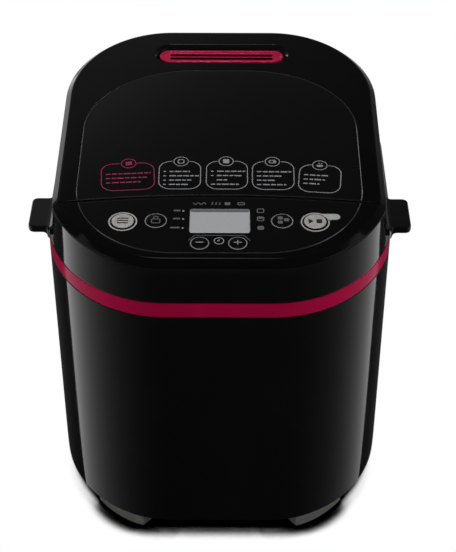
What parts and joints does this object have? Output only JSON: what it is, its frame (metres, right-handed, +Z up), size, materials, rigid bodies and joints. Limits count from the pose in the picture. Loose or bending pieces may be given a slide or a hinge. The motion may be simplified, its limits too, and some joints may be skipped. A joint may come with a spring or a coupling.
{
  "type": "bread machine",
  "caption": "Upright bread machine with rounded black casing, crimson band, hinged lid with steam vent, sloping control console, side lugs, and a baking pan with a belt-driven kneading paddle.",
  "frame": {"origin": "on the floor, under the middle of the machine's bounding box", "axes": "+Z up, the control console faces -Y, +X to the right of a user who faces the console"},
  "size_m": [0.2984, 0.306, 0.3004],
  "materials": {
    "casing_plastic": "glossy black moulding",
    "accent_plastic": "glossy crimson moulding",
    "dark_plastic": "satin dark grey",
    "silver_plastic": "satin silver paint",
    "clear_plastic": "clear acrylic",
    "display": "grey liquid crystal cell in a frame",
    "rubber": "matt moulded rubber",
    "steel": "galvanised or drawn steel",
    "aluminium": "pressed aluminium",
    "coated_aluminium": "dark non-stick coating on aluminium",
    "brass": "turned brass",
    "ceramic": "unglazed ceramic",
    "circuit_board": "green solder mask"
  },
  "bodies": {
    "housing": {"accent_band": "accent_plastic", "baking_chamber": "steel", "base_plate": "dark_plastic", "base_screw_back_left": "steel", "base_screw_back_right": "steel", "base_screw_front_left": "steel", "base_screw_front_right": "steel", "chamber_screw_back_left": "steel", "chamber_screw_back_right": "steel", "chamber_screw_front_left": "steel", "chamber_screw_front_right": "steel", "control_board": "circuit_board", "control_fascia": "casing_plastic", "cord_gland": "rubber", "drive_belt": "rubber", "drive_frame": "steel", "fascia_inlay": "casing_plastic", "foot_back_left": "rubber", "foot_back_right": "rubber", "foot_front_left": "rubber", "foot_front_right": "rubber", "heater_bushing_left": "ceramic", "heater_bushing_right": "ceramic", "heating_element": "steel", "hinge_bracket_left": "dark_plastic", "hinge_bracket_right": "dark_plastic", "hinge_pin_left": "steel", "hinge_pin_right": "steel", "lcd_lens": "clear_plastic", "lcd_module": "display", "lower_shell": "casing_plastic", "motor": "steel", "pan_socket": "aluminium", "power_board": "circuit_board", "shaft_bearing": "brass", "side_lug_left": "casing_plastic", "side_lug_right": "casing_plastic", "start_stop_light_guide": "clear_plastic", "temperature_sensor": "brass", "upper_shell": "casing_plastic"},
    "lid": {"lid_shell": "casing_plastic", "lid_inlay": "casing_plastic", "lid_liner": "aluminium", "vent_insert": "accent_plastic", "liner_screw_left": "steel", "liner_screw_right": "steel"},
    "pan": {"bread_pan": "coated_aluminium", "pan_bush": "brass"},
    "bail": {"pan_bail": "steel"},
    "kneader": {"pan_shaft": "steel"},
    "paddle": {"kneading_paddle": "coated_aluminium"},
    "drive": {"drive_shaft": "steel", "large_pulley": "dark_plastic"},
    "motor_rotor": {"motor_pulley": "steel"},
    "button_crust_body": {"button_crust": "dark_plastic"},
    "button_menu_body": {"button_menu": "silver_plastic"},
    "button_minus_body": {"button_minus": "dark_plastic"},
    "button_plus_body": {"button_plus": "dark_plastic"},
    "button_start_stop_body": {"button_start_stop": "silver_plastic"},
    "button_weight_body": {"button_weight": "dark_plastic"}
  },
  "joints": [
    {"name": "lid_hinge", "type": "hinge", "parent": "housing", "child": "lid", "pos_m": [0, 0.1474, 0.29481], "axis": [-1, 0, 0], "range_deg": [0, 85]},
    {"name": "pan_lift", "type": "slide", "parent": "housing", "child": "pan", "axis": [0, 0, 1], "range_m": [0, 0.02]},
    {"name": "bail_swing", "type": "hinge", "parent": "pan", "child": "bail", "pos_m": [0, 0.028, 0.228], "axis": [1, 0, 0], "range_deg": [0, 18]},
    {"name": "drive_spin", "type": "hinge", "parent": "housing", "child": "drive", "pos_m": [0, 0.028, 0.04], "axis": [0, 0, 1], "continuous": true},
    {"name": "kneader_spin", "type": "hinge", "parent": "pan", "child": "kneader", "pos_m": [0, 0.028, 0.08], "axis": [0, 0, 1], "continuous": true},
    {"name": "paddle_lift", "type": "slide", "parent": "kneader", "child": "paddle", "axis": [0, 0, 1], "range_m": [0, 0.02]},
    {"name": "motor_spin", "type": "hinge", "parent": "housing", "child": "motor_rotor", "pos_m": [0, -0.11, 0.04], "axis": [0, 0, 1], "continuous": true},
    {"name": "crust_press", "type": "slide", "parent": "housing", "child": "button_crust_body", "axis": [0, 0.0872, -0.9962], "range_m": [0, 0.0012], "stiffness_N_per_m": 1200},
    {"name": "menu_press", "type": "slide", "parent": "housing", "child": "button_menu_body", "axis": [0, 0.0872, -0.9962], "range_m": [0, 0.0012], "stiffness_N_per_m": 1200},
    {"name": "minus_press", "type": "slide", "parent": "housing", "child": "button_minus_body", "axis": [0, 0.0872, -0.9962], "range_m": [0, 0.0012], "stiffness_N_per_m": 1200},
    {"name": "plus_press", "type": "slide", "parent": "housing", "child": "button_plus_body", "axis": [0, 0.0872, -0.9962], "range_m": [0, 0.0012], "stiffness_N_per_m": 1200},
    {"name": "start_stop_press", "type": "slide", "parent": "housing", "child": "button_start_stop_body", "axis": [0, 0.0872, -0.9962], "range_m": [0, 0.0012], "stiffness_N_per_m": 1200},
    {"name": "weight_press", "type": "slide", "parent": "housing", "child": "button_weight_body", "axis": [0, 0.0872, -0.9962], "range_m": [0, 0.0012], "stiffness_N_per_m": 1200}
  ],
  "couplings": [
    {"joint": "kneader_spin", "follows": "drive_spin", "ratio": 1},
    {"joint": "motor_spin", "follows": "drive_spin", "ratio": 4}
  ]
}
